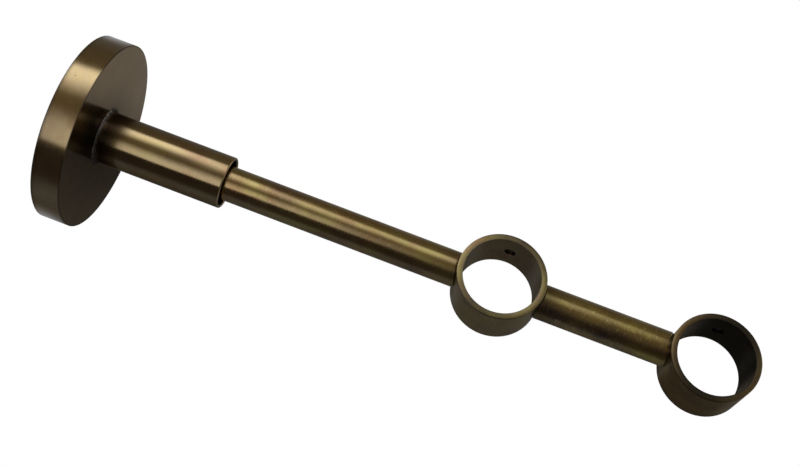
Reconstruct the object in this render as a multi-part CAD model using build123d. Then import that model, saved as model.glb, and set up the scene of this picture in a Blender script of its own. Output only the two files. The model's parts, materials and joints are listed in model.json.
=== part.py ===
# Double curtain pole bracket with an arm that slides in a wall socket.
# Frame: the origin is on the wall, at the middle of the round wall plate.
# +Y points away from the wall along the arm, X lies along the poles, +Z is up.
import os

from build123d import *

# Driving sizes, in millimetres

# Poles and the rings that hold them
pole_bore = 26.0
ring_wall = 2.0
ring_width = 17.2
ring_edge_radius = 0.2
bore_edge_chamfer = 0.1
rear_pole_projection = 151.8
pole_spacing = 73.6

# Solid round bar between the socket and the rings
arm_diameter = 12.0
arm_in_socket = 33.0
arm_tail_chamfer = 0.8
saddle_edge_radius = 0.7
braze_gap = 0.05

# Bush inside the socket that guides the arm
arm_slide_fit = 0.08
bush_wall = 1.89
bush_fit = 0.03
bush_setback = 5.0
bush_mouth_chamfer = 0.5

# Socket tube that stands on the wall plate
socket_wall = 1.0
socket_reach = 45.0
socket_mouth_radius = 0.45
socket_braze_leg = 0.7

# Round wall plate, turned hollow at the back
plate_diameter = 65.0
plate_thickness = 10.0
plate_front_wall = 3.0
plate_rim_wall = 3.0
plate_front_radius = 0.35
plate_back_chamfer = 0.3

# Pressed dish that is screwed to the wall and hidden inside the wall plate
dish_play = 0.25
dish_headroom = 1.4
dish_sheet = 2.0
dish_bend_radius = 1.2
wall_hole_diameter = 5.0
wall_hole_circle = 38.0
wall_hole_count = 3

# Set screws with a hexagon socket, all entered from above
screw_diameter = 4.0
screw_fit = 0.02
screw_hex = 2.0
screw_hex_depth = 1.6
screw_end_chamfer = 0.4
screw_tip_gap = 0.04
pole_screw_length = 4.0
pole_screw_recess = 0.8
arm_screw_setback = 12.0

# Sizes worked out from the ones above
bore_radius = pole_bore / 2
ring_radius = bore_radius + ring_wall
front_pole_projection = rear_pole_projection + pole_spacing
arm_radius = arm_diameter / 2
bush_inner_radius = arm_radius + arm_slide_fit
bush_outer_radius = bush_inner_radius + bush_wall
socket_bore_radius = bush_outer_radius + bush_fit
socket_radius = socket_bore_radius + socket_wall
socket_mouth = plate_thickness + socket_reach
plate_radius = plate_diameter / 2
recess_radius = plate_radius - plate_rim_wall
recess_floor = plate_thickness - plate_front_wall
dish_radius = recess_radius - dish_play
dish_height = recess_floor - dish_headroom
dish_outer_bend = dish_bend_radius + dish_sheet
plate_screw_station = (dish_outer_bend + dish_height) / 2
arm_screw_station = socket_mouth - arm_screw_setback


def section(*corners):
    """Flat section from (radius, distance from wall) corners."""
    return make_face(Polyline(*corners, close=True))


def round_corner(face, corner, radius):
    """Round one corner of a flat section."""
    return fillet(face.vertices().sort_by_distance(corner)[0], radius)


def upright_hole(station, inner, outer):
    """Cutter for a set screw hole through the upper wall between two radii."""
    length = outer - inner + screw_diameter
    return Pos(0, station, (inner + outer) / 2) * Cylinder(screw_diameter / 2, length)


def set_screw(length, station, tip_height):
    """Set screw standing on end: flat tip below, hexagon socket above."""
    on_end = (Align.CENTER, Align.CENTER, Align.MIN)
    shank = Cylinder(screw_diameter / 2 - screw_fit, length, align=on_end)
    shank = chamfer(shank.edges().filter_by(GeomType.CIRCLE), screw_end_chamfer)
    hexagon = RegularPolygon(screw_hex / 2, 6, major_radius=False)
    hex_socket = extrude(Plane.XY.offset(length) * hexagon, -screw_hex_depth)
    return Pos(0, station, tip_height) * (shank - hex_socket)


def wall_plate():
    front_corner = (plate_radius, plate_thickness)
    hub_radius = socket_radius + braze_gap
    face = section(
        (hub_radius, plate_thickness),
        front_corner,
        (plate_radius, plate_back_chamfer),
        (plate_radius - plate_back_chamfer, 0),
        (recess_radius, 0),
        (recess_radius, recess_floor),
        (hub_radius, recess_floor),
    )
    plate = revolve(round_corner(face, front_corner, plate_front_radius), Axis.Y)
    return plate - upright_hole(plate_screw_station, recess_radius, plate_radius)


def wall_dish():
    inner_radius = dish_radius - dish_sheet
    face = section(
        (0, 0),
        (dish_radius, 0),
        (dish_radius, dish_height),
        (inner_radius, dish_height),
        (inner_radius, dish_sheet),
        (0, dish_sheet),
    )
    face = round_corner(face, (inner_radius, dish_sheet), dish_bend_radius)
    face = round_corner(face, (dish_radius, 0), dish_outer_bend)
    dish = revolve(face, Axis.Y)
    hole = extrude(Plane.XZ * Circle(wall_hole_diameter / 2), -dish_sheet)
    for index in range(wall_hole_count):
        turn = Rot(0, 360 / wall_hole_count * index, 0)
        dish -= turn * Pos(0, 0, wall_hole_circle / 2) * hole
    return dish


def plate_screw():
    tip = dish_radius + screw_tip_gap
    return set_screw(plate_radius - tip, plate_screw_station, tip)


def braze_bead():
    """Hollow-faced bead of brazing metal in the corner of socket and wall plate."""
    root_radius = socket_radius - socket_wall / 2
    bead_top = plate_thickness + socket_braze_leg
    foot = (socket_radius + socket_braze_leg, plate_thickness)
    top = (socket_radius, bead_top)
    hollow = RadiusArc(foot, top, socket_braze_leg)
    root = Polyline(top, (root_radius, bead_top), (root_radius, plate_thickness), foot)
    return revolve(make_face(hollow + root), Axis.Y)


def socket_tube():
    outer_lip = (socket_radius, socket_mouth)
    inner_lip = (socket_bore_radius, socket_mouth)
    face = section(
        (socket_bore_radius, recess_floor),
        (socket_radius, recess_floor),
        outer_lip,
        inner_lip,
    )
    face = round_corner(face, outer_lip, socket_mouth_radius)
    face = round_corner(face, inner_lip, socket_mouth_radius)
    tube = revolve(face, Axis.Y) + braze_bead()
    return tube - upright_hole(arm_screw_station, socket_bore_radius, socket_radius)


def guide_bush():
    mouth = socket_mouth - bush_setback
    face = section(
        (bush_inner_radius, plate_thickness),
        (bush_outer_radius, plate_thickness),
        (bush_outer_radius, mouth),
        (bush_inner_radius + bush_mouth_chamfer, mouth),
        (bush_inner_radius, mouth - bush_mouth_chamfer),
    )
    bush = revolve(face, Axis.Y)
    return bush - upright_hole(arm_screw_station, bush_inner_radius, bush_outer_radius)


def arm_screw():
    tip = arm_radius + screw_tip_gap
    return set_screw(socket_radius - tip, arm_screw_station, tip)


def ring_blank(station):
    """Cylinder of the ring's outside and the braze, twice as long as the bar is thick."""
    across = Plane(origin=(0, station, 0), z_dir=(1, 0, 0))
    return across * Cylinder(ring_radius + braze_gap, 2 * arm_diameter)


def bar(start, end):
    """Round bar on the arm's axis, from one distance from the wall to another."""
    middle = Plane(origin=(0, (start + end) / 2, 0), z_dir=(0, 1, 0))
    return middle * Cylinder(arm_radius, end - start)


def ease_saddles(rod):
    """Round the curved edge where a hollowed bar end meets its ring."""
    return fillet(rod.edges().filter_by(GeomType.BSPLINE), saddle_edge_radius)


def arm_rod():
    tail = socket_mouth - arm_in_socket
    rod = ease_saddles(bar(tail, rear_pole_projection) - ring_blank(rear_pole_projection))
    tail_edge = rod.edges().filter_by(GeomType.CIRCLE).sort_by(Axis.Y)[0]
    return chamfer(tail_edge, arm_tail_chamfer)


def link_rod():
    rod = bar(rear_pole_projection, front_pole_projection)
    rod = rod - ring_blank(rear_pole_projection) - ring_blank(front_pole_projection)
    return ease_saddles(rod)


def pole_ring(station):
    """Ring turned about the pole's axis, rounded outside and chamfered in the bore."""
    face = Pos(0, station + (bore_radius + ring_radius) / 2) * Rectangle(ring_width, ring_wall)
    face = fillet(face.vertices().group_by(Axis.Y)[-1], ring_edge_radius)
    face = chamfer(face.vertices().group_by(Axis.Y)[0], bore_edge_chamfer)
    ring = revolve(face, Axis((0, station, 0), (1, 0, 0)))
    return ring - upright_hole(station, bore_radius, ring_radius)


def pole_screw(station):
    return set_screw(pole_screw_length, station, bore_radius + pole_screw_recess)


pieces = {
    "wall_plate": wall_plate(),
    "wall_dish": wall_dish(),
    "plate_screw": plate_screw(),
    "socket_tube": socket_tube(),
    "guide_bush": guide_bush(),
    "arm_screw": arm_screw(),
    "arm_rod": arm_rod(),
    "rear_ring": pole_ring(rear_pole_projection),
    "link_rod": link_rod(),
    "front_ring": pole_ring(front_pole_projection),
    "rear_pole_screw": pole_screw(rear_pole_projection),
    "front_pole_screw": pole_screw(front_pole_projection),
}

os.makedirs("parts", exist_ok=True)
for name, piece in pieces.items():
    export_step(piece, f"parts/{name}.step")
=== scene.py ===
import json
import math

import bmesh
import bpy
import numpy as np
from mathutils import Matrix, Vector


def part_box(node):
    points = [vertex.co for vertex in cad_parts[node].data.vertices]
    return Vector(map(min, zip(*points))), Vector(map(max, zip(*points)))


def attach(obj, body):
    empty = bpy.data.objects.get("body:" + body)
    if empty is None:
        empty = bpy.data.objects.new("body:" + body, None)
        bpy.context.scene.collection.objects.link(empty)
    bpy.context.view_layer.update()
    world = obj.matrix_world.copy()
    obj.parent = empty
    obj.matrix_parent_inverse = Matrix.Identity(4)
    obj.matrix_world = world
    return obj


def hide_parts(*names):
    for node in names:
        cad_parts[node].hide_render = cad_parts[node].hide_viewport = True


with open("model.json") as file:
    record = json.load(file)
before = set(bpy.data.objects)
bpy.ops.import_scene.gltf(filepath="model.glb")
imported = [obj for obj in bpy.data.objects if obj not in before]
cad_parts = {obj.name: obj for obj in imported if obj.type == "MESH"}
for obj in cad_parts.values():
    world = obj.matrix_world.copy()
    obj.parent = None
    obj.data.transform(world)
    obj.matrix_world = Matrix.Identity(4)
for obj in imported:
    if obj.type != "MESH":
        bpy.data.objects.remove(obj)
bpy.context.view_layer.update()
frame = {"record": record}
bpy.context.scene.view_settings.view_transform = "Standard"

mm = 0.001
micron = 0.000001
arcSteps = 7  # points on each rounded corner
nearSteps = np.array([0.02, 0.06, 0.14, 0.3, 0.6, 1.2]) * mm  # leg points close to a corner
nearShare = 0.4  # share of a leg that those may take at each end
wideStep = 2.5 * mm  # leg points away from corners
wideMargin = 2 * mm  # how far those stay from the corners
edgeRows = 4  # rows over the round edge of a hole
wallRows = 3  # rows down the wall of a hole
weldGap = 0.0002 * mm  # points closer than this become one
wearReach = 0.35 * mm  # how far bare metal spreads from a worn edge


# sizes read from the frame

def boxOf(node):
    low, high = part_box(node)
    return np.array(low), np.array(high)


def ringSizes(node, mount):
    low, high = boxOf(node)
    bore = next(m for m in frame["record"]["mounts"] if m["name"] == mount)["dims"]["r_mm"] * mm
    return {"station": (low[1] + high[1]) / 2, "radius": high[2], "half": high[0], "bore": bore}


def screwSizes(node):
    low, high = boxOf(node)
    return {
        "station": (low[1] + high[1]) / 2,
        "radius": (high[0] - low[0]) / 2,
        "tip": low[2],
        "length": high[2] - low[2],
    }


plateHigh = boxOf("wall_plate")[1]
socketLow, socketHigh = boxOf("socket_tube")
bushLow, bushHigh = boxOf("guide_bush")
dishHigh = boxOf("wall_dish")[1]
armLow, armHigh = boxOf("arm_rod")
rearRing = ringSizes("rear_ring", "rear_pole")
frontRing = ringSizes("front_ring", "front_pole")
screwNodes = ("plate_screw", "arm_screw", "rear_pole_screw", "front_pole_screw")
screws = {node: screwSizes(node) for node in screwNodes}
armRadius = armHigh[0]
plateRadius = plateHigh[0]
plateFront = plateHigh[1]
socketMouth = socketHigh[1]


# sections: lines of (radius, along) round a turned piece

def unit(v):
    return v / np.linalg.norm(v)


# falls from 1 as exp(-(gap / reach)^2)
def fade(gap, reach):
    return np.exp(-((gap / reach) ** 2))


# rounded corner: an arc that leaves each leg at rounding / tan(half the corner's angle)
def cornerArc(before, corner, after, rounding):
    back, onward = unit(before - corner), unit(after - corner)
    half = math.acos(np.clip(back @ onward, -1, 1)) / 2
    reach = rounding / math.tan(half)
    middle = corner + unit(back + onward) * rounding / math.sin(half)
    start, end = corner + back * reach - middle, corner + onward * reach - middle
    sweep = math.pi - 2 * half
    t = np.linspace(0, 1, arcSteps)[:, None]
    return middle + (np.sin((1 - t) * sweep) * start + np.sin(t * sweep) * end) / math.sin(sweep)


# straight leg: points close together at both ends and even between, or exactly at the marks of a hole
def legPoints(start, end, marks):
    length = np.linalg.norm(end - start)
    near = nearSteps[nearSteps < length * nearShare]
    spread = np.linspace(0, length, max(2, int(length / wideStep)) + 1)[1:-1]
    spread = spread[(spread > wideMargin) & (spread < length - wideMargin)]
    spots = np.unique(np.concatenate([near, spread, length - near]))
    changing = int(np.argmax(np.abs(end - start)))
    rows = np.array([], int)
    if marks is not None:
        at = np.sort((marks - start[changing]) / (end - start)[changing] * length)
        margin = (at[1] - at[0]) / 2
        spots = np.concatenate([spots[spots < at[0] - margin], at, spots[spots > at[-1] + margin]])
        rows = np.searchsorted(spots, at)
        if end[changing] < start[changing]:
            rows = rows[::-1]
    return start + (end - start) * (spots / length)[:, None], rows


# closed section: corners are (radius, along, rounding, wear), marks are hole stations on a corner's next leg,
# and wear fades from each corner
def sectionLine(corners, marks):
    spots = np.array([c[:2] for c in corners], float)
    count = len(corners)
    arcs = [cornerArc(spots[k - 1], spots[k], spots[(k + 1) % count], corners[k][2]) for k in range(count)]
    points, middles, blocks, done = [], [], {}, 0
    for k in range(count):
        leg, rows = legPoints(arcs[k][-1], arcs[(k + 1) % count][0], marks.get(k))
        middles.append(done + arcSteps // 2)
        if len(rows):
            blocks[k] = rows + done + arcSteps
        points += [arcs[k], leg]
        done += arcSteps + len(leg)
    line = np.concatenate(points)
    steps = np.linalg.norm(np.diff(line, axis=0, append=line[:1]), axis=1)
    lay = np.concatenate([[0], np.cumsum(steps)[:-1]])
    gap = np.abs(lay[:, None] - lay[middles])
    gap = np.minimum(gap, steps.sum() - gap)
    wear = (np.array([c[3] for c in corners]) * fade(gap, wearReach)).max(1)
    return {"line": line, "lay": lay, "wear": wear, "blocks": blocks}


# patches: grids of points with four looks at each point

# the second look carries real wear and painted highlights, the third real soot and painted shade
lookNames = ("lay", "wear", "soot", "braze")


def patchOf(points, lay, wear, soot, braze=0, closedRows=False, hidden=None):
    shape = points.shape[:2]
    looks = np.stack([np.broadcast_to(v, shape) for v in (lay, wear, soot, braze)], -1)
    return {"points": points, "looks": looks, "rows": closedRows, "columns": True, "hidden": hidden}


# quads of a grid, wrapping round where it is closed, without those that a hole takes out
def gridFaces(patch):
    rows, columns = patch["points"].shape[:2]
    i, j = np.meshgrid(
        np.arange(rows if patch["rows"] else rows - 1),
        np.arange(columns if patch["columns"] else columns - 1),
        indexing="ij",
    )
    if patch["hidden"] is not None:
        kept = ~patch["hidden"][: i.shape[0], : i.shape[1]]
        i, j = i[kept], j[kept]
    here, below = i * columns, (i + 1) % rows * columns
    right = (j + 1) % columns
    return np.stack([here + j, here + right, below + right, below + j], -1).reshape(-1, 4)


# angles once round a piece
def turns(columns):
    return np.linspace(-math.pi, math.pi, columns, endpoint=False)


# points round the arm's axis: across = r sin(turn), up = r cos(turn)
def roundArm(radius, along, turn):
    return np.stack([radius * np.sin(turn), along + 0 * turn, radius * np.cos(turn)], -1)


# turned surface: every section point goes once round the axis
def turnedGrid(section, columns):
    radius, along = section["line"][:, 0, None], section["line"][:, 1, None]
    return roundArm(radius, along, turns(columns))


# stations of the grid rows that a hole's block takes up
def holeMarks(hole):
    return hole["station"] + np.linspace(-hole["reach"], hole["reach"], 2 * hole["columns"] + 1)


# takes a hole's block out of a grid and gives the points of its boundary, once round
def takeBlock(grid, hidden, rows, across):
    block = grid[np.ix_(rows, across)]
    hidden[np.ix_(np.arange(rows.min(), rows.max()), across[:-1])] = True
    return np.concatenate([block[0, :-1], block[:-1, -1], block[-1, :0:-1], block[:0:-1, 0]])


# hole through a wall: in from the outer loop to the hole's rim, over its round edge, down the wall and out,
# where the edge is r = radius + edge (1 - sin(over)) and sinks by edge (1 - cos(over))
def holeGrid(outerLoop, innerLoop, centre, hole, outerHeight, innerHeight):
    radius, edge, steps = hole["radius"], hole["edge"], hole["steps"]
    flatOuter, flatInner = outerLoop - centre, innerLoop - centre
    angle = np.arctan2(flatOuter[:, 1], flatOuter[:, 0])
    way = np.stack([np.cos(angle), np.sin(angle)], -1)
    blend = np.linspace(0, 1, steps)[:, None, None]
    rim = way * (radius + edge)
    over = np.linspace(0, math.pi / 2, edgeRows + 1)[1:, None]
    shrink = (radius + edge * (1 - np.sin(over)))[..., None] * way
    drop = edge * (1 - np.cos(over))
    wall = np.broadcast_to(way * radius, (wallRows,) + way.shape)
    sink = np.linspace(0, 1, wallRows + 2)[1:-1, None]
    outerFlat = np.concatenate([flatOuter * (1 - blend) + rim * blend, shrink]) + centre
    innerFlat = np.concatenate([shrink[::-1], rim * blend[::-1] + flatInner * (1 - blend[::-1])]) + centre
    outerUp = outerHeight(outerFlat)
    outerUp[steps:] -= drop
    innerUp = innerHeight(innerFlat)
    innerUp[:edgeRows] += drop[::-1]
    wallUp = outerUp[-1] * (1 - sink) + innerUp[0] * sink
    flat = np.concatenate([outerFlat, wall + centre, innerFlat])
    return np.concatenate([flat, np.concatenate([outerUp, wallUp, innerUp])[..., None]], -1)


# turned piece with a set screw hole at its top: the hole's block is left out of the outer and inner legs,
# and a hole grid whose height is sqrt(r^2 - across^2) fills it
def turnedWithTopHole(corners, legs, size, soot, wearShare=1):
    hole = size["hole"]
    section = sectionLine(corners, dict.fromkeys(legs, holeMarks(hole)))
    grid = turnedGrid(section, size["columns"])
    middle, half = size["columns"] // 2, hole["columns"]
    across = np.arange(middle - half, middle + half + 1)
    hidden = np.zeros(grid.shape[:2], bool)
    loops, radii = [], []
    for leg in legs:
        rows = section["blocks"][leg]
        loops.append(takeBlock(grid, hidden, rows, across)[:, :2])
        radii.append(section["line"][rows[0], 0])
    heights = [lambda flat, r=r: np.sqrt(r * r - flat[..., 0] ** 2) for r in radii]
    centre = np.array([0, hole["station"]])
    filled = holeGrid(*loops, centre, hole, *heights)
    outerRows = section["blocks"][legs[0]]
    fillLay = np.interp(filled[..., 1], section["line"][outerRows, 1], section["lay"][outerRows])
    away = np.hypot(filled[..., 0], filled[..., 1] - hole["station"])
    fillWear = hole["wear"] * fade(away - hole["radius"] - hole["edge"], wearReach)
    wear = section["wear"][:, None] * wearShare
    body = patchOf(grid, section["lay"][:, None], wear, soot(grid), closedRows=True, hidden=hidden)
    return [body, patchOf(filled, fillLay, fillWear, soot(filled))]


def noSoot(points):
    return np.zeros(points.shape[:2])


# carries a patch from (across, along, up) about the arm to a ring whose axis lies along X
def acrossArm(patches, station):
    for patch in patches:
        across, along, up = np.moveaxis(patch["points"], -1, 0)
        patch["points"] = np.stack([along, station + across, up], -1)
    return patches


def newMesh(name, points, faces, looks):
    mesh = bpy.data.meshes.new(name)
    mesh.from_pydata(points.tolist(), [], faces.tolist())
    for key, values in looks.items():
        layer = mesh.attributes.new(key, "FLOAT", "POINT")
        layer.data.foreach_set("value", values.astype(np.float32))
    return mesh


def placeMesh(name, mesh, material):
    mesh.materials.append(material)
    thing = bpy.data.objects.new(name, mesh)
    bpy.context.scene.collection.objects.link(thing)
    return thing


# puts the patches of one piece into one closed mesh with its looks as attributes
def makePiece(name, patches, body, node, material, sharpAngle=40):
    vertices, looks, faces, start = [], [], [], 0
    for patch in patches:
        vertices.append(patch["points"].reshape(-1, 3))
        looks.append(patch["looks"].reshape(-1, len(lookNames)))
        faces.append(gridFaces(patch) + start)
        start += len(vertices[-1])
    looks = dict(zip(lookNames, np.concatenate(looks).T))
    mesh = newMesh(name, np.concatenate(vertices), np.concatenate(faces), looks)
    work = bmesh.new()
    work.from_mesh(mesh)
    bmesh.ops.remove_doubles(work, verts=work.verts, dist=weldGap)
    bmesh.ops.dissolve_degenerate(work, edges=work.edges, dist=weldGap)
    bmesh.ops.recalc_face_normals(work, faces=work.faces)
    openEdges = sum(not edge.is_manifold for edge in work.edges)
    work.to_mesh(mesh)
    work.free()
    mesh.shade_smooth()
    mesh.set_sharp_from_angle(angle=math.radians(sharpAngle))
    piece = placeMesh(name, mesh, material)
    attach(piece, body)
    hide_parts(node)
    print(f"{name}: {len(mesh.polygons)} faces, {openEdges} open edges")


# shader maths: a wire wraps a socket, and sums on wires add Math nodes

class Wire:
    def __init__(self, finish, socket):
        self.finish = finish
        self.socket = socket

    def __add__(self, other):
        return self.finish.maths("ADD", self, other)

    def __radd__(self, other):
        return self.finish.maths("ADD", other, self)

    def __sub__(self, other):
        return self.finish.maths("SUBTRACT", self, other)

    def __rsub__(self, other):
        return self.finish.maths("SUBTRACT", other, self)

    def __mul__(self, other):
        return self.finish.maths("MULTIPLY", self, other)

    def __rmul__(self, other):
        return self.finish.maths("MULTIPLY", other, self)


class Finish:
    def __init__(self, tree):
        self.tree = tree
        tree.nodes.clear()

    # one node: its type, its settings, then the values or links of its sockets
    def node(self, kind, settings=None, sockets=None, output=0):
        made = self.tree.nodes.new("ShaderNode" + kind)
        for key, value in (settings or {}).items():
            if key == "stops":
                self.setStops(made.color_ramp.elements, value)
            else:
                setattr(made, key, value)
        for key, value in (sockets or {}).items():
            if isinstance(value, Wire):
                self.tree.links.new(value.socket, made.inputs[key])
            else:
                made.inputs[key].default_value = value
        return Wire(self, made.outputs[output]) if made.outputs else None

    def maths(self, operation, *values):
        return self.node("Math", {"operation": operation}, dict(enumerate(values)))

    def vectors(self, operation, *values, output=0):
        return self.node("VectorMath", {"operation": operation}, dict(enumerate(values)), output)

    def clamp(self, value):
        return self.node("Clamp", None, {"Value": value})

    # smooth step from 0 at low to 1 at high, or falling where low is above high
    def ramp(self, value, low, high):
        step = {"interpolation_type": "SMOOTHSTEP"}
        if low < high:
            return self.node("MapRange", step, {"Value": value, "From Min": low, "From Max": high})
        return 1 - self.node("MapRange", step, {"Value": value, "From Min": high, "From Max": low})

    def mix(self, share, first, second):
        return self.node("Mix", {"data_type": "RGBA"}, {0: share, 6: first, 7: second}, 2)

    def noise(self, vector, scale, detail, rough=0.5):
        sockets = {"Vector": vector, "Scale": scale, "Detail": detail, "Roughness": rough}
        return self.node("TexNoise", None, sockets, "Fac")

    # stops of a colour ramp as (position, colour)
    def setStops(self, elements, stops):
        while len(elements) < len(stops):
            elements.new(0.5)
        for stop, (position, colour) in zip(elements, stops):
            stop.position = position
            stop.color = colour

    def look(self, name):
        return self.node("Attribute", {"attribute_name": name}, None, "Fac")

    def objectPoint(self):
        return self.node("TexCoord", None, None, "Object")

    def placed(self, vector, scale=(1, 1, 1), location=(0, 0, 0)):
        return self.node("Mapping", None, {"Vector": vector, "Scale": scale, "Location": location})

    def show(self, shader):
        self.node("OutputMaterial", None, {"Surface": shader})

    # metal with a bump from a height in metres
    def metal(self, colour, rough, height, coat):
        bump = self.node("Bump", None, {"Strength": 1.0, "Distance": 1.0, "Height": height}, "Normal")
        sockets = {"Base Color": colour, "Metallic": 1.0, "Roughness": rough, "Normal": bump}
        self.show(self.node("BsdfPrincipled", None, sockets | coat))


def newMaterial(name):
    material = bpy.data.materials.new(name)
    material.use_nodes = True
    return material, Finish(material.node_tree)


# lacquered antique brass: brown patina over gold with russet, olive and plum patches, flecks, fine lines,
# bare worn edges, soot and painted shade near the brazed joints and elsewhere, and a braze bead with painted
# highlight lines
brassLook = {
    "gold": (0.33, 0.245, 0.105, 1),
    "brown": (0.22, 0.145, 0.062, 1),
    "plum": (0.15, 0.09, 0.07, 1),
    "russet": (0.25, 0.125, 0.042, 1),
    "olive": (0.36, 0.3, 0.085, 1),
    "bare": (0.60, 0.50, 0.30, 1),
    # one dark colour for heat soot, dark braze seams and painted shade alike
    "soot": (0.03, 0.026, 0.021, 1),
    "brazeDark": (0.045, 0.04, 0.034, 1),
    "brazeLight": (0.22, 0.185, 0.165, 1),
    "roughness": 0.2,
    "patchRough": 0.08,
    "lineRough": 0.06,
    "sootRough": 0.12,
    "brazeRough": 0.3,
    "mottle": 0.9,
    "stain": 0.3,
    "warmth": 0.3,
    "yellowing": 0.0,
    "sootMottle": 0.5,
    "speck": 0.2,
    "fleck": 0.08,
    "wearEven": 0.45,
    "wearPatchy": 1.1,
    "ridgeEven": 0.1,
    "drawn": (1, 0.45, 1),
    "patternPlace": (0, 0, 0),
    "blushPlace": (0.3, 0.7, 0.1),
    "ticked": (1, 2.2, 1),
    "lineCount": 3800,
    "lineSway": (3, 2),
    "lineDepth": 0.3 * micron,
    "dentDepth": 0.8 * micron,
    "speckShare": 0.3,
    "grainDepth": 0.0,
    "beadDepth": 60 * micron,
    "coatWeight": 0.6,
    "coatRoughness": 0.1,
    "edgeTint": (1, 1, 1, 1),
    "pit": None,
    "pitRadius": 0.4 * mm,
    "pitSoot": 0.7,
}

# noises of the brass as (scale, detail, roughness)
brassNoises = {
    "broad": (45, 2, 0.5),
    "patches": (190, 4, 0.6),
    "stains": (120, 3, 0.55),
    "blushes": (105, 3, 0.6),
    "specks": (1300, 2, 0.5),
    "grains": (620, 3, 0.6),
    "lines": (1, 2, 0.7),
}

# noise levels between which each kind of patch comes in
patchLevels = {
    "russet": (0.5, 0.64),
    "olive": (0.5, 0.36),
    "plum": (0.48, 0.7),
    "fleck": (0.56, 0.7),
    "beadHighlight": (0.44, 0.64),
}


# tone = weighted noises about a half, with patches, bare metal at worn edges and flecks, soot and painted
# shade, a pit, and braze with its painted highlight lines laid over it
def antiqueBrass(name, **changes):
    look = brassLook | changes
    material, make = newMaterial(name)
    point = make.objectPoint()
    wear, soot, braze, lay = (make.look(key) for key in ("wear", "soot", "braze", "lay"))
    drawn = make.placed(point, look["drawn"], look["patternPlace"])
    broad = make.noise(drawn, *brassNoises["broad"])
    patches = make.noise(drawn, *brassNoises["patches"])
    stains = make.noise(drawn, *brassNoises["stains"])
    blushes = make.noise(make.placed(drawn, location=look["blushPlace"]), *brassNoises["blushes"])
    specks = make.noise(point, *brassNoises["specks"])
    grains = make.noise(make.placed(point, look["ticked"]), *brassNoises["grains"])
    swayBroad, swayPatch = look["lineSway"]
    swayed = {"X": lay * look["lineCount"], "Y": broad * swayBroad, "Z": patches * swayPatch}
    lines = make.noise(make.node("CombineXYZ", None, swayed), *brassNoises["lines"])
    tone = ((broad - 0.5) + (patches - 0.5)) * look["mottle"] + (specks - 0.5) * look["speck"] + 0.5
    skin = make.mix(make.clamp(tone), look["brown"], look["gold"])
    skin = make.mix(make.ramp(blushes, *patchLevels["russet"]) * look["warmth"], skin, look["russet"])
    skin = make.mix(make.ramp(stains, *patchLevels["olive"]) * look["yellowing"], skin, look["olive"])
    skin = make.mix(make.ramp(stains, *patchLevels["plum"]) * look["stain"], skin, look["plum"])
    flecks = make.ramp(grains, *patchLevels["fleck"]) * look["fleck"]
    bared = make.clamp(wear * (patches * look["wearPatchy"] + look["wearEven"]) + flecks)
    worn = make.mix(bared, skin, look["bare"])
    dark = soot * ((patches - 0.5) * look["sootMottle"] + 1)
    if look["pit"]:
        away = make.vectors("DISTANCE", point, look["pit"], output="Value")
        dark = dark + make.ramp(away, look["pitRadius"], 0.0) * look["pitSoot"]
    dark = make.clamp(dark)
    darkened = make.mix(dark, worn, look["soot"])
    # painted highlight: the bead's pale lines, broken up by grains, run from dark braze to a pale highlight
    # colour
    brokenBeadHighlight = make.ramp(grains, *patchLevels["beadHighlight"]) * (1 - look["ridgeEven"]) + look["ridgeEven"]
    bead = make.mix(make.clamp(wear * brokenBeadHighlight), look["brazeDark"], look["brazeLight"])
    uneven = (patches - 0.5) * look["patchRough"] + (lines - 0.5) * look["lineRough"]
    height = lines * look["lineDepth"] + (specks * look["speckShare"] + patches) * look["dentDepth"]
    height = height + grains * (braze * look["beadDepth"] + look["grainDepth"])
    rough = make.clamp(uneven + look["roughness"] + dark * look["sootRough"] + braze * look["brazeRough"])
    coat = {
        "Specular Tint": look["edgeTint"],
        "Coat Weight": (1 - make.maths("MAXIMUM", dark, braze)) * look["coatWeight"],
        "Coat Roughness": look["coatRoughness"],
    }
    make.metal(make.mix(braze, darkened, bead), rough, height, coat)
    return material


# plain metal for hidden fittings: steel or darkened brass with a grainy skin
plainLook = {
    "cloud": (4, 0.6),
    "fineDetail": 2,
    "fineness": 9,
    "fineShare": 0.5,
    "fineDepth": 4 * micron,
    "wearEven": 0.3,
    "wearBright": 1.8,
    "uneven": 0.2,
}


# skin = clouds and fine grain between a dark and a light colour, brighter at worn edges
def plainMetal(name, dark, light, roughness, grain):
    look = plainLook
    material, make = newMaterial(name)
    point = make.objectPoint()
    cloud = make.noise(point, grain, *look["cloud"])
    fine = make.noise(point, grain * look["fineness"], look["fineDetail"])
    skin = make.mix(make.clamp(cloud + (fine - 0.5) * look["fineShare"]), dark, light)
    edge = make.clamp(make.look("wear") * (cloud + look["wearEven"]))
    bright = tuple(min(1.0, look["wearBright"] * part) for part in light[:3]) + (1,)
    rough = make.clamp((cloud - 0.5) * look["uneven"] + roughness)
    make.metal(make.mix(edge, skin, bright), rough, fine * look["fineDepth"], {})
    return material


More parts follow.
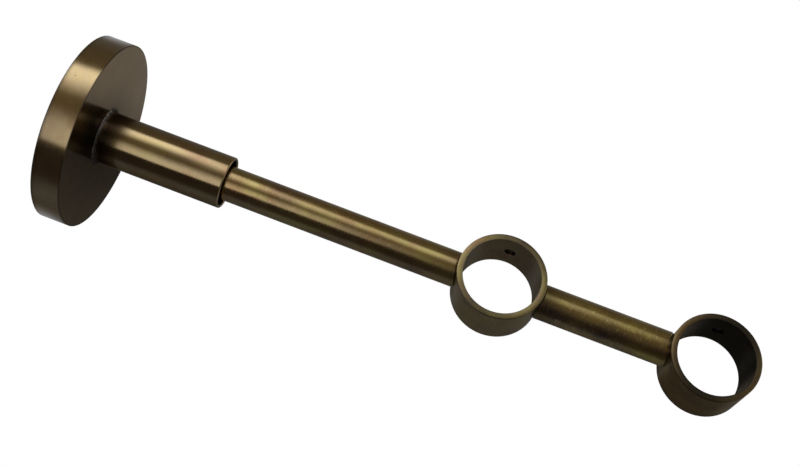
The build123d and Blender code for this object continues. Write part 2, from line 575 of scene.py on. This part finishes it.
plateBrass = antiqueBrass(
    "plateBrass", roughness=0.15, mottle=0.6, speck=0.1, fleck=0.02, stain=0.2, warmth=0.35, yellowing=0.15,
    gold=(0.35, 0.265, 0.125, 1), edgeTint=(0.75, 0.75, 0.75, 1), drawn=(1, 1, 1),
    pit=(0.03246, 0.00335, 0.00154),
)
socketBrass = antiqueBrass(
    "socketBrass", roughness=0.15, mottle=1.1, stain=0.4, warmth=0.5, yellowing=0.2, dentDepth=1.3 * micron,
    gold=(0.33, 0.25, 0.112, 1), soot=(0.04, 0.028, 0.02, 1), edgeTint=(0.5, 0.48, 0.46, 1),
)
armBrass = antiqueBrass(
    "armBrass", roughness=0.21, mottle=1.7, stain=0.6, warmth=0.5, yellowing=0.7, fleck=0.2,
    gold=(0.37, 0.268, 0.1, 1), dentDepth=3.4 * micron, patternPlace=(0, -0.0257, 0),
)
linkBrass = antiqueBrass(
    "linkBrass", roughness=0.22, mottle=1.3, stain=0.8, warmth=0.35, yellowing=0.8, fleck=0.5,
    dentDepth=6 * micron, grainDepth=8 * micron, coatWeight=0.45,
    gold=(0.385, 0.31, 0.104, 1), brown=(0.255, 0.165, 0.075, 1), plum=(0.13, 0.085, 0.08, 1),
    olive=(0.42, 0.35, 0.08, 1), bare=(0.7, 0.62, 0.27, 1),
)
ringBrass = antiqueBrass(
    "ringBrass", roughness=0.24, mottle=1.8, stain=0.7, warmth=0.6, yellowing=0.35, sootMottle=1.2, fleck=0.1,
    coatWeight=0.4, drawn=(1, 1, 1),
    gold=(0.34, 0.277, 0.085, 1), brown=(0.19, 0.125, 0.052, 1), plum=(0.265, 0.165, 0.092, 1),
)
darkRingBrass = antiqueBrass(
    "darkRingBrass", roughness=0.26, mottle=1.6, stain=0.5, warmth=0.2, fleck=0.05, coatWeight=0.15,
    gold=(0.25, 0.18, 0.074, 1), brown=(0.15, 0.104, 0.052, 1), plum=(0.12, 0.078, 0.064, 1),
    bare=(0.5, 0.34, 0.13, 1), soot=(0.024, 0.022, 0.018, 1), edgeTint=(0.62, 0.6, 0.57, 1), drawn=(1, 1, 1),
)
bushBrass = plainMetal("bushBrass", (0.06, 0.042, 0.025, 1), (0.13, 0.09, 0.045, 1), roughness=0.4, grain=260)
darkSteel = plainMetal(
    "darkSteel", (0.025, 0.025, 0.027, 1), (0.07, 0.068, 0.066, 1), roughness=0.38, grain=500
)
zincSteel = plainMetal("zincSteel", (0.38, 0.38, 0.37, 1), (0.58, 0.58, 0.55, 1), roughness=0.33, grain=300)
print("finishes made")


# wall plate: a turned cup with a round front edge and a screw hole in its rim
plateSizes = {
    "hub": 9.05 * mm,
    "frontWall": 3.0 * mm,
    "rimWall": 3.0 * mm,
    "frontRound": 0.15 * mm,
    "backChamfer": 0.3 * mm,
    "corner": 0.06 * mm,
    "nearSootAndShade": 0.3,
    "nearReach": 1.8 * mm,
    "wideShade": 0.3,
    "wideReach": 11.5 * mm,
    "edgeShade": 0.9,
    "edgeReach": 0.3 * mm,
    "backSoot": 0.85,
    "backReach": 0.85 * mm,
    # the stain entry is a painted shade patch where the face mirrors the socket
    "stain": {"across": 14 * mm, "up": -6 * mm, "width": 12 * mm, "height": 5.6 * mm, "amount": 0.85},
    "columns": 360,
    "hole": {
        "station": screws["plate_screw"]["station"], "radius": 2.0 * mm, "edge": 0.12 * mm,
        "columns": 6, "steps": 6, "wear": 0.4, "reach": 2.55 * mm,
    },
}


def wallPlate():
    size, stain = plateSizes, plateSizes["stain"]
    recess, floor = plateRadius - size["rimWall"], plateFront - size["frontWall"]
    tiny = size["corner"]
    corners = [
        (recess, floor, tiny, 0),
        (size["hub"], floor, tiny, 0),
        (size["hub"], plateFront, tiny, 0),
        (plateRadius, plateFront, size["frontRound"], 0.05),
        (plateRadius, size["backChamfer"], tiny, 0.25),
        (plateRadius - size["backChamfer"], 0, tiny, 0.25),
        (recess, 0, tiny, 0.2),
    ]

    # heat soot and painted shade in the corner of socket and plate, painted shade fading over the face, a
    # painted shade patch beside it where the face mirrors the socket, a painted shade line along the front
    # edge, and a dark back edge
    def soot(points):
        across, along, up = np.moveaxis(points, -1, 0)
        radius = np.hypot(across, up)
        gap = radius - size["hub"]
        # near the hub heat soot and painted shade, over the face painted shade
        near = size["nearSootAndShade"] * fade(gap, size["nearReach"])
        wide = size["wideShade"] * fade(gap, size["wideReach"])
        # painted shade: a dark line along the rounded front edge
        lip = size["edgeShade"] * fade(np.hypot(radius - plateRadius, along - plateFront), size["edgeReach"])
        paintedShadePatch = fade(across - stain["across"], stain["width"]) * fade(up - stain["up"], stain["height"])
        face = near + wide + lip + stain["amount"] * paintedShadePatch
        back = size["backSoot"] * fade(along, size["backReach"])
        rim = np.where(radius > plateRadius - size["backChamfer"] - tiny, back, 0)
        return np.where(along > floor + tiny, face, rim)

    patches = turnedWithTopHole(corners, (3, 6), size, soot)
    makePiece("wallPlate", patches, "base", "wall_plate", plateBrass)


# socket tube with a screw hole near its mouth
socketSizes = {
    "radius": 9.0 * mm,
    "wall": 1.0 * mm,
    "mouthRound": 0.45 * mm,
    "soot": 0.95,
    "sootAndShadeReach": 7.8 * mm,
    "sootAndShadeSteep": 4,
    "shadeSwing": 0.22,
    "shadeTurn": math.radians(60),
    "lipLeast": 0.06,
    "lipSteep": 4,
    "corner": 0.05 * mm,
    "columns": 192,
    "hole": {
        "station": screws["arm_screw"]["station"], "radius": 2.0 * mm, "edge": 0.12 * mm,
        "columns": 10, "steps": 8, "wear": 0.5, "reach": 3.0 * mm,
    },
}


def socketTube():
    size = socketSizes
    outer, inner = size["radius"], size["radius"] - size["wall"]
    corners = [
        (inner, socketLow[1], size["corner"], 0),
        (outer, socketLow[1], size["corner"], 0),
        (outer, socketMouth, size["mouthRound"], 0.9),
        (inner, socketMouth, size["mouthRound"], 0.8),
    ]

    # heat tint of brazing darkens the foot, with painted shade on top: its reach swings with the turn
    # to set where each highlight fades
    def soot(points):
        across, along, up = np.moveaxis(points, -1, 0)
        height = along - plateFront
        outside = np.hypot(across, up) > outer - size["corner"]
        swing = size["shadeSwing"] * np.cos(2 * (np.arctan2(across, up) - size["shadeTurn"]))
        reach = size["sootAndShadeReach"] * (1 + swing)
        foot = size["soot"] * np.exp(-((height / reach) ** size["sootAndShadeSteep"]))
        return np.where(outside & (height > 0), foot, 0)

    # the lip is worn at its top and bottom, where its bare metal also paints the lip's highlight
    worn = np.cos(turns(size["columns"])) ** size["lipSteep"]
    lipShare = size["lipLeast"] + (1 - size["lipLeast"]) * worn
    patches = turnedWithTopHole(corners, (1, 3), size, soot, lipShare) + [brazeBead()]
    makePiece("socketTube", patches, "base", "socket_tube", socketBrass)


# bead of braze round the socket's foot: waves are (size, count, start), lumps are (turn, growth),
# and its painted highlight lines are (sweep, width), brightest round one turn
beadSizes = {
    "leg": 0.68 * mm,
    "waves": [(0.14, 7, 2.3), (0.12, 17, 0.7), (0.08, 29, 1.9)],
    "lumps": [(math.radians(30), 0.9), (math.radians(85), 0.35), (math.radians(190), 1.0)],
    "lumpSteep": 10,
    "swell": 0.3,
    "rows": 9,
    "brightTurn": math.radians(98),
    "brightSteep": 4,
    "dim": 0.3,
    "footHighlight": (0.35, 0.5),
    "upperHighlight": (1.3, 0.25),
    "upperHighlightShare": 0.5,
}


# hollow quarter circle between plate and tube, r = R + leg (1 - sin(sweep)), its leg waving with the turn
def brazeBead():
    size, outer = beadSizes, socketSizes["radius"]
    turn = turns(socketSizes["columns"])
    sweep = np.linspace(0, math.pi / 2, size["rows"])[:, None]
    wave = sum(height * np.sin(count * turn + start) for height, count, start in size["waves"])
    for middle, growth in size["lumps"]:
        wave = wave + growth * ((1 + np.cos(turn - middle)) / 2) ** size["lumpSteep"]
    leg = size["leg"] * (1 + wave) * (1 + size["swell"] * np.sin(2 * sweep))
    skinRadius = outer + leg * (1 - np.sin(sweep))
    skinAlong = plateFront + leg * (1 - np.cos(sweep))
    sunk = np.full((1, len(turn)), outer - socketSizes["wall"] / 2)
    radius = np.concatenate([skinRadius, sunk, sunk])
    along = np.concatenate([skinAlong, skinAlong[-1:], np.full((1, len(turn)), plateFront)])
    # painted highlight: the bead's lines are brightest round one turn and dim elsewhere
    glint = ((1 + np.cos(turn - size["brightTurn"])) / 2) ** size["brightSteep"]
    shown = size["dim"] + (1 - size["dim"]) * glint
    # painted highlight lines near the foot and higher up, carried as the bead's wear
    foot, upper = (fade(sweep - middle, width) for middle, width in (size["footHighlight"], size["upperHighlight"]))
    beadHighlight = np.concatenate([shown * (foot + size["upperHighlightShare"] * upper), np.zeros((2, len(turn)))])
    return patchOf(roundArm(radius, along, turn), along, beadHighlight, 0, braze=1, closedRows=True)


# guide bush inside the socket
bushSizes = {
    "bore": armRadius + 0.08 * mm,
    "mouthChamfer": 0.5 * mm,
    "corner": 0.05 * mm,
    "columns": 128,
    "hole": {
        "station": screws["arm_screw"]["station"], "radius": 2.0 * mm, "edge": 0.1 * mm,
        "columns": 8, "steps": 6, "wear": 0.2, "reach": 3.0 * mm,
    },
}


def guideBush():
    size, tiny = bushSizes, bushSizes["corner"]
    outer, inner, mouth = bushHigh[0], size["bore"], bushHigh[1]
    corners = [
        (inner, bushLow[1], tiny, 0),
        (outer, bushLow[1], tiny, 0),
        (outer, mouth, tiny, 0.3),
        (inner + size["mouthChamfer"], mouth, tiny, 0.4),
        (inner, mouth - size["mouthChamfer"], tiny, 0.2),
    ]
    patches = turnedWithTopHole(corners, (1, 4), size, noSoot)
    makePiece("guideBush", patches, "base", "guide_bush", bushBrass)


# wall dish: pressed sheet with a turned-up rim and wall screw holes in its floor
dishSizes = {
    "sheet": 2.0 * mm,
    "innerBend": 1.2 * mm,
    "corner": 0.12 * mm,
    "pinHole": 0.4 * mm,
    "pinRound": 0.01 * mm,
    "columns": 180,
    "holes": 3,
    "hole": {
        "station": 19.0 * mm, "radius": 2.5 * mm, "edge": 0.2 * mm,
        "columns": 6, "steps": 6, "reach": 3.9 * mm,
    },
}


# a pin hole in the middle makes the dish one closed section, whose screw holes are cut out of blocks
def wallDish():
    size, hole, columns = dishSizes, dishSizes["hole"], dishSizes["columns"]
    rim, sheet, height = dishHigh[0], size["sheet"], dishHigh[1]
    corners = [
        (size["pinHole"], sheet, size["pinRound"], 0),
        (rim - sheet, sheet, size["innerBend"], 0),
        (rim - sheet, height, size["corner"], 0.5),
        (rim, height, size["corner"], 0.5),
        (rim, 0, size["innerBend"] + sheet, 0),
        (size["pinHole"], 0, size["pinRound"], 0),
    ]
    section = sectionLine(corners, dict.fromkeys((0, 4), holeMarks(hole)))
    grid = turnedGrid(section, columns)
    hidden = np.zeros(grid.shape[:2], bool)
    centre = np.array([0, hole["station"]])
    heights = [lambda flat, level=level: np.full(flat.shape[:-1], level) for level in (sheet, 0.0)]
    patches = []
    for k in range(size["holes"]):
        turn = 2 * math.pi * k / size["holes"]
        middle = columns // 2 + round(columns * k / size["holes"])
        across = np.arange(middle - hole["columns"], middle + hole["columns"] + 1) % columns
        spin = np.array([[math.cos(turn), -math.sin(turn)], [math.sin(turn), math.cos(turn)]])
        blocks = [takeBlock(grid, hidden, rows, across) for rows in section["blocks"].values()]
        loops = [block[:, [0, 2]] @ spin.T for block in blocks]
        filled = holeGrid(*loops, centre, hole, *heights)
        flat = filled[..., :2] @ spin
        points = np.stack([flat[..., 0], filled[..., 2], flat[..., 1]], -1)
        patches.append(patchOf(points, 0, 0, 0))
    lay, wear = section["lay"][:, None], section["wear"][:, None]
    patches.append(patchOf(grid, lay, wear, 0, closedRows=True, hidden=hidden))
    makePiece("wallDish", patches, "base", "wall_dish", zincSteel)


# bars: round rods whose ends are hollowed to sit on the rings
barSizes = {
    "brazeGap": 0.05 * mm,
    "saddleRound": 0.7 * mm,
    "armSeam": {
        "turn": math.radians(60), "flare": 0.06 * mm, "reach": 1.1 * mm,
        "soot": 0.95, "wear": 0.9, "heat": 0.1,
    },
    "rearSeam": {
        "turn": math.radians(40), "flare": 0.1 * mm, "reach": 5.5 * mm,
        "soot": 0.95, "wear": 0.1, "heat": 0.58,
    },
    "frontSeam": {
        "turn": math.radians(50), "flare": 0.06 * mm, "reach": 1.1 * mm,
        "soot": 0.8, "wear": 0.8, "heat": 0.1,
    },
    "tailEnd": {"heat": 0.0, "reach": 1.0 * mm},
    "tailChamfer": 0.8 * mm,
    "tailWear": 0.4,
    "seamSink": 0.9,
    "sootAndShadeSteep": 6,
    "columns": 128,
    "skinRows": 60,
    "easeRows": 8,
    "seamRows": 4,
    "capRows": 14,
    "tailRows": 8,
}


# saddle end: the skin runs over a round edge into a seam of braze against the ring's cylinder,
# y = station -+ (sqrt(R^2 - z^2) + lift)
def saddleRows(ring, side, turn, joint):
    size = barSizes
    reach, ease = ring["radius"] + size["brazeGap"], size["saddleRound"]
    over = np.linspace(0, joint["turn"], size["easeRows"])[:, None]
    seam = np.linspace(0, 1, size["seamRows"] + 1)[1:, None]
    inside = np.linspace(1, 0, size["capRows"])[1:, None]
    edgeRho, edgeLift = armRadius - ease + ease * np.cos(over), ease * (1 - np.sin(over))
    seamRho = edgeRho[-1] + joint["flare"] * seam**2
    seamLift = edgeLift[-1] * (1 - seam) - size["seamSink"] * size["brazeGap"] * seam
    rho = np.concatenate([edgeRho, seamRho, seamRho[-1] * inside])
    lift = np.concatenate([edgeLift, seamLift, seamLift[-1] + 0 * inside])
    height = rho * np.cos(turn)
    along = ring["station"] + side * (np.sqrt(reach**2 - height**2) + lift)
    # bare worn metal on the round edge, which also paints the highlight where the band crosses it
    edgeWear = joint["wear"] * np.sin(math.pi * over / joint["turn"]) ** 2
    wear = np.concatenate([edgeWear, 0 * seam, 0 * inside])
    # heat tint turning into the dark braze seam, with painted crevice shade over the round edge
    edgeShade = joint["heat"] + (joint["soot"] - joint["heat"]) * (over / joint["turn"]) ** size["sootAndShadeSteep"]
    soot = np.concatenate([edgeShade, joint["soot"] + 0 * seam, np.ones_like(inside)])
    return rho + 0 * turn, along, wear + 0 * turn, soot + 0 * turn


# plain tail end with a chamfer
def tailRows(station, turn):
    chamfer, rows = barSizes["tailChamfer"], barSizes["tailRows"]
    inner = armRadius - chamfer
    rho = np.concatenate([[armRadius], np.linspace(inner, 0, rows)])[:, None]
    along = np.concatenate([[station + chamfer], np.full(rows, station)])[:, None]
    wear = np.where(rho >= inner, barSizes["tailWear"], 0)
    return rho + 0 * turn, along + 0 * turn, wear + 0 * turn, 0 * (rho + turn)


# bar surface: first end from its middle out, the skin in even rows, then the last end in to its middle,
# with a heat tint that fades from each ring
def barPatch(first, last, turn, firstJoint, lastJoint):
    near = nearSteps / (last[1][0].mean() - first[1][0].mean())
    even = np.linspace(0, 1, barSizes["skinRows"])[1:-1]
    share = np.unique(np.concatenate([near, even, 1 - near]))[:, None]
    skinAlong = first[1][0] * (1 - share) + last[1][0] * share
    skinSoot = 0 * skinAlong
    for end, joint in ((first, firstJoint), (last, lastJoint)):
        skinSoot = np.maximum(skinSoot, joint["heat"] * fade(skinAlong - end[1][0], joint["reach"]))
    skin = (np.full_like(skinAlong, armRadius), skinAlong, 0 * skinAlong, skinSoot)
    rho, along, wear, soot = (np.concatenate([a[::-1], b, c]) for a, b, c in zip(first, skin, last))
    return patchOf(roundArm(rho, along, turn), along, wear, soot)


def bars():
    turn = turns(barSizes["columns"])
    armEnd = saddleRows(rearRing, -1, turn, barSizes["armSeam"])
    armPatch = barPatch(tailRows(armLow[1], turn), armEnd, turn, barSizes["tailEnd"], barSizes["armSeam"])
    makePiece("armRod", [armPatch], "arm", "arm_rod", armBrass)
    linkStart = saddleRows(rearRing, 1, turn, barSizes["rearSeam"])
    linkEnd = saddleRows(frontRing, -1, turn, barSizes["frontSeam"])
    linkPatch = barPatch(linkStart, linkEnd, turn, barSizes["rearSeam"], barSizes["frontSeam"])
    makePiece("linkRod", [linkPatch], "arm", "link_rod", linkBrass)


# pole rings: a band turned about the pole, round outside edges, chamfered bore and a screw hole at the top
ringLook = {
    "edgeRound": 0.2 * mm,
    "boreChamfer": 0.1 * mm,
    "corner": 0.03 * mm,
    "crown": 0.15 * mm,
    "crownRound": 5.2 * mm,
    "edgeShade": 0.9,
    "edgeReach": 0.6 * mm,
    "meetingSootAndShade": 0.3,
    "meetingReach": 0.5 * mm,
    "boreSteep": 4,
    "paleSlant": math.radians(-15),
    "paleRear": 0.9,
    "paleFront": 0.6,
    "wearMiddle": 0.6,
    "wearSwing": 0.5,
    "columns": 192,
    "hole": {
        "station": 0.0, "radius": 2.0 * mm, "edge": 0.15 * mm,
        "columns": 7, "steps": 7, "wear": 0.3, "reach": 3.2 * mm,
    },
}


def poleRing(name, node, ring, material, faceDarkening, boreSoot):
    size, tiny = ringLook, ringLook["corner"]
    outer, bore, half = ring["radius"], ring["bore"], ring["half"]
    rim, lip, middle = half - size["crown"], bore + size["boreChamfer"], (bore + outer) / 2
    corners = [
        (lip, -rim, tiny, 0.3),
        (middle, -half, size["crownRound"], 0),
        (outer, -rim, size["edgeRound"], 0.15),
        (outer, rim, size["edgeRound"], 0.15),
        (middle, half, size["crownRound"], 0),
        (lip, rim, tiny, 0.35),
        (bore, rim - size["boreChamfer"], tiny, 0.3),
        (bore, size["boreChamfer"] - rim, tiny, 0.3),
    ]

    # soot and painted contact shade outside where the bars meet it, a painted shade line along the outer
    # edges, soot in the bore, and darkening on the end faces, least along a slanted line across them
    def soot(points):
        across, along, up = np.moveaxis(points, -1, 0)
        radius = np.hypot(across, up)
        beside = np.maximum(np.hypot(along, up) - armRadius, 0)
        # braze soot and painted contact shade round each bar's footprint
        meeting = size["meetingSootAndShade"] * fade(beside, size["meetingReach"])
        # painted shade: a dark line along the rounded outer edges
        line = size["edgeShade"] * fade(rim - np.abs(along), size["edgeReach"])
        slantAlong = (across * math.cos(size["paleSlant"]) + up * math.sin(size["paleSlant"])) / radius
        face = faceDarkening * (1 - np.where(slantAlong < 0, size["paleRear"], size["paleFront"]) * slantAlong**2)
        inward = np.clip((outer - radius) / (outer - bore), 0, 1)
        face = face + (np.maximum(boreSoot, face) - face) * inward ** size["boreSteep"]
        onFace = (np.abs(along) > rim - size["edgeRound"]) & (radius > bore + tiny)
        return np.where(radius > outer - tiny, np.maximum(meeting, line), np.where(onFace, face, boreSoot))

    # edges are worn most on the side towards the wall
    wearShare = size["wearMiddle"] - size["wearSwing"] * np.sin(turns(size["columns"]))
    patches = turnedWithTopHole(corners, (2, 6), size, soot, wearShare)
    makePiece(name, acrossArm(patches, ring["station"]), "arm", node, material)


# set screws: a helical thread cut by end cones, and a hexagon socket in the upper end
screwLook = {
    "pitch": 0.7 * mm,
    "threadDepth": 0.32 * mm,
    "flankSlope": 2.6,
    "crestFlat": 0.15,
    "endChamfer": 0.4 * mm,
    "hexAcross": 2.0 * mm,
    "hexDepth": 1.6 * mm,
    "hexEase": 0.08 * mm,
    "drillShare": 0.6,
    "drillDepth": 1.12,
    "crestWear": 0.35,
    "rimWear": 0.3,
    "rowsPerPitch": 14,
    "capRows": 4,
    "columns": 72,
    "sharpAngle": 30,
}


# thread: r falls and rises with the share of a pitch reached by height - turn, never past the end cones
def setScrew(name, node, body):
    look, size = screwLook, screws[node]
    turn = turns(look["columns"])
    length, radius, chamfer = size["length"], size["radius"], look["endChamfer"]
    height = np.linspace(0, length, int(length / look["pitch"] * look["rowsPerPitch"]))[:, None]
    phase = (height / look["pitch"] - turn / (2 * math.pi)) % 1
    groove = np.clip(look["flankSlope"] * np.abs(phase - 0.5) - look["crestFlat"], 0, 1)
    cone = radius - chamfer + np.minimum(height, length - height)
    flank = np.minimum(radius - look["threadDepth"] * groove, cone)
    hexagon = look["hexAcross"] / 2 / np.cos((turn + math.pi / 6) % (math.pi / 3) - math.pi / 6)
    mouth, deep = hexagon + look["hexEase"], look["hexDepth"]
    out = np.linspace(0, 1, look["capRows"] + 2)[1:-1, None]
    tipRho = np.concatenate([0 * turn[None], (radius - chamfer) * out + 0 * turn])
    rimRho = flank[-1] * (1 - out) + mouth * out
    topRho = np.stack([mouth, hexagon, hexagon, hexagon * look["drillShare"], 0 * turn])
    depth = np.array([0, look["hexEase"], deep, deep, deep * look["drillDepth"]])[:, None]
    rho = np.concatenate([tipRho, flank, rimRho, topRho])
    level = np.concatenate([0 * tipRho, height + 0 * turn, length + 0 * rimRho, length - depth + 0 * turn])
    skinWear, rimWear = look["crestWear"] * (1 - groove), look["rimWear"] + 0 * rimRho
    wear = np.concatenate([0 * tipRho, skinWear, rimWear, 0 * topRho])
    points = np.stack([rho * np.sin(turn), size["station"] + rho * np.cos(turn), size["tip"] + level], -1)
    patch = patchOf(points, level, wear, 0)
    makePiece(name, [patch], body, node, darkSteel, look["sharpAngle"])


wallPlate()
socketTube()
guideBush()
wallDish()
bars()
poleRing("rearRing", "rear_ring", rearRing, ringBrass, faceDarkening=0.76, boreSoot=0.41)
poleRing("frontRing", "front_ring", frontRing, darkRingBrass, faceDarkening=0.93, boreSoot=1.0)
setScrew("plateScrew", "plate_screw", "base")
setScrew("armScrew", "arm_screw", "arm_screw")
setScrew("rearPoleScrew", "rear_pole_screw", "rear_pole_screw")
setScrew("frontPoleScrew", "front_pole_screw", "front_pole_screw")
print("pieces made")


# studio: pale floor, white surroundings, a dark room that only reflections see, and six soft boxes
studio = {
    "floorLevel": -0.64,
    "floorSize": 4.0,
    "floorRows": 9,
    "floorFade": (0.4, 2.4),
    "floorColour": (0.78, 0.77, 0.75, 1),
    "floorPale": (0.8, 0.8, 0.79, 1),
    "floorClouds": (3, 3),
    "floorMix": (0.4, 0.2),
    "floorRoughness": 0.9,
    "roomSize": (0.6, 0.8, 0.6),
    "roomCentre": (0.0, 0.11, 0.0),
    "roomTurns": 64,
    "roomRows": 33,
    "endLow": (0.22, 0.21, 0.19, 1),
    "endHigh": (0.85, 0.85, 0.84, 1),
    "endRise": (-0.7, 0.8),
    "endAside": (0.55, 0.75),
    "aboveAside": (0.42, 0.6),
    "aboveRise": (0.1, 0.7),
    "boxColour": (1, 1.02, 1.1, 1),
    "boxMargin": 22,
    "boxRows": 33,
}

# glow of the dark room as (angle round the arm, level, tint), from the viewer's side up over the top
roomTints = {
    "warm": (1, 0.85, 0.6),
    "ember": (1, 0.92, 0.82),
    "plain": (1, 0.96, 0.92),
    "cool": (1, 1.05, 1.25),
    "dusk": (1.12, 0.9, 0.92),
}
roomGlow = [
    (-180, 0.08, "ember"), (-164, 0.095, "ember"), (-140, 0.125, "plain"), (-120, 0.15, "cool"),
    (-108, 0.12, "cool"), (-95, 0.05, "dusk"), (-62, 0.036, "dusk"), (-50, 0.05, "dusk"),
    (-20, 0.18, "warm"), (0, 0.24, "warm"), (30, 0.22, "warm"), (58, 0.2, "warm"),
    (80, 0.17, "warm"), (105, 0.19, "plain"), (140, 0.27, "ember"), (152.5, 0.29, "ember"),
    (156.5, 0.033, "ember"), (159.5, 0.05, "ember"), (163, 0.075, "ember"), (168, 0.085, "ember"),
    (180, 0.08, "ember"),
]

# soft boxes: tilt round the arm and reach along it run from dark to full and from full to dark,
# and the tilt leans by so many degrees per metre away from the bend
softBoxes = {
    "nearSoftBox": {
        "distance": 0.45, "tilt": (8, 40, 45, 56), "reach": (-0.45, -0.25, -0.08, 0.03),
        "lean": -45, "bend": -0.03, "strength": 2.4,
    },
    "farSoftBox": {
        "distance": 0.47, "tilt": (-6, 26, 31, 44), "reach": (-0.1, -0.03, 0.08, 0.38),
        "lean": 0, "bend": 0.0, "strength": 1.25,
    },
    "lowerSoftBox": {
        "distance": 0.45, "tilt": (-56, -53, -42, -8), "reach": (-0.35, -0.06, -0.04, 0.14),
        "lean": 60, "bend": -0.09, "strength": 1.4,
    },
    "rearSoftBox": {
        "distance": 0.45, "tilt": (166, 171, 176, 181), "reach": (-0.06, 0.07, 0.15, 0.28),
        "lean": 0, "bend": 0.11, "strength": 0.3,
    },
    "rimLowSoftBox": {
        "distance": 0.45, "tilt": (-200, -190, -174, -138), "reach": (-0.4, -0.25, -0.148, -0.13),
        "lean": 0, "bend": 0.0, "strength": 0.35,
    },
    "rimTopSoftBox": {
        "distance": 0.45, "tilt": (104, 126, 150, 156), "reach": (-0.4, -0.25, -0.148, -0.13),
        "lean": 0, "bend": 0.0, "strength": 0.45,
    },
}


def stageMesh(name, points, closed, material, looks):
    patch = {"points": points, "rows": False, "columns": closed, "hidden": None}
    mesh = newMesh(name, points.reshape(-1, 3), gridFaces(patch), looks)
    mesh.shade_smooth()
    thing = placeMesh(name, mesh, material)
    return thing


# pale floor that fades into the white surroundings
def paleFloor():
    material, make = newMaterial("paleFloor")
    least, change = studio["floorMix"]
    share = make.clamp(make.noise(make.objectPoint(), *studio["floorClouds"]) * change + least)
    colour = make.mix(share, studio["floorColour"], studio["floorPale"])
    shader = make.node("BsdfPrincipled", None, {"Base Color": colour, "Roughness": studio["floorRoughness"]})
    away = make.vectors("LENGTH", make.objectPoint(), output="Value")
    white = make.node("Emission")
    make.show(make.node("MixShader", None, {0: make.ramp(away, *studio["floorFade"]), 1: shader, 2: white}))
    side = np.linspace(-studio["floorSize"], studio["floorSize"], studio["floorRows"])
    x, y = np.meshgrid(side, side, indexing="ij")
    stageMesh("paleFloor", np.stack([x, y, 0 * x + studio["floorLevel"]], -1), False, material, {})


# dark room: a shell whose glow follows the angle round the arm, with pale ends past the arm's reach;
# it is seen in reflections alone, so it hides nothing and casts no shadow
def darkRoom():
    material, make = newMaterial("darkRoom")
    centre = tuple(-c for c in studio["roomCentre"])
    way = make.vectors("NORMALIZE", make.vectors("ADD", make.objectPoint(), centre))
    ahead, aside, rise = (make.node("SeparateXYZ", None, {0: way}, axis) for axis in "XYZ")
    share = make.maths("ARCTAN2", rise, ahead) * (0.5 / math.pi) + 0.5
    stops = []
    for angle, level, tint in roomGlow:
        stops.append((angle / 360 + 0.5, tuple(level * part for part in roomTints[tint]) + (1,)))
    around = make.node("ValToRGB", {"stops": stops}, {0: share})
    above = make.ramp(aside, *studio["aboveAside"]) * make.ramp(rise, *studio["aboveRise"])
    beyond = make.ramp(make.maths("ABSOLUTE", aside), *studio["endAside"])
    endColour = make.mix(make.ramp(rise, *studio["endRise"]), studio["endLow"], studio["endHigh"])
    glow = make.mix(make.maths("MAXIMUM", above, beyond), around, endColour)
    make.show(make.node("Emission", None, {"Color": glow}))
    turn = np.linspace(0, 2 * math.pi, studio["roomTurns"], endpoint=False)
    lift = np.linspace(-math.pi / 2, math.pi / 2, studio["roomRows"])[:, None]
    shell = np.stack([np.cos(lift) * np.cos(turn), np.cos(lift) * np.sin(turn), np.sin(lift) + 0 * turn], -1)
    points = np.array(studio["roomCentre"]) + np.array(studio["roomSize"]) * shell
    room = stageMesh("darkRoom", points, True, material, {})
    room.visible_camera = False
    room.visible_diffuse = False
    room.visible_shadow = False


# soft box: a strip bent round the arm's axis, clear where its light has eased off and in its margin
def softBox(name, box):
    material, make = newMaterial(name)
    reach = make.look("reach")
    tilt = make.look("tilt") - make.maths("ABSOLUTE", reach - box["bend"]) * box["lean"]
    level = make.ramp(tilt, *box["tilt"][:2]) * make.ramp(tilt, *box["tilt"][:1:-1])
    level = level * make.ramp(reach, *box["reach"][:2]) * make.ramp(reach, *box["reach"][:1:-1])
    light = make.node("Emission", None, {"Color": studio["boxColour"], "Strength": box["strength"]})
    clear = make.node("BsdfTransparent")
    make.show(make.node("MixShader", None, {0: level, 1: clear, 2: light}))
    first, last = box["tilt"][0] - studio["boxMargin"], box["tilt"][3] + studio["boxMargin"]
    tilts, reaches = np.meshgrid(
        np.linspace(first, last, studio["boxRows"]),
        np.linspace(box["reach"][0], box["reach"][3], studio["boxRows"]),
        indexing="ij",
    )
    angle = np.radians(tilts)
    points = np.stack([np.cos(angle) * box["distance"], reaches, np.sin(angle) * box["distance"]], -1)
    strip = stageMesh(name, points, False, material, {"tilt": tilts.ravel(), "reach": reaches.ravel()})
    strip.visible_camera = False


def whiteSurroundings():
    world = bpy.data.worlds.new("whiteSurroundings")
    world.use_nodes = True
    bpy.context.scene.world = world
    make = Finish(world.node_tree)
    sky = make.node("Background", None, {"Color": (1, 1, 1, 1), "Strength": 1.0})
    make.node("OutputWorld", None, {"Surface": sky})


paleFloor()
darkRoom()
for boxName, box in softBoxes.items():
    softBox(boxName, box)
whiteSurroundings()
print("studio made")


# camera: looks up along the poles from below the arm, rolled so that the arm slopes down to the right
cameraPlace = {
    "eye": Vector((0.368178, 0.140066, -0.165961)),
    "right": Vector((0.09698, 0.93361, 0.34491)),
    "up": Vector((0.41425, -0.35296, 0.83894)),
    "back": Vector((0.90498, 0.06152, -0.42098)),
    "lens": 54.569,
    "sensor": 36,
    "nearest": 0.01,
}


def photoCamera():
    data = bpy.data.cameras.new("photoCamera")
    data.sensor_width = cameraPlace["sensor"]
    data.lens = cameraPlace["lens"]
    data.clip_start = cameraPlace["nearest"]
    camera = bpy.data.objects.new("photoCamera", data)
    bpy.context.scene.collection.objects.link(camera)
    turned = Matrix((cameraPlace["right"], cameraPlace["up"], cameraPlace["back"])).transposed()
    camera.matrix_world = Matrix.Translation(cameraPlace["eye"]) @ turned.to_4x4()
    bpy.context.scene.camera = camera


photoCamera()
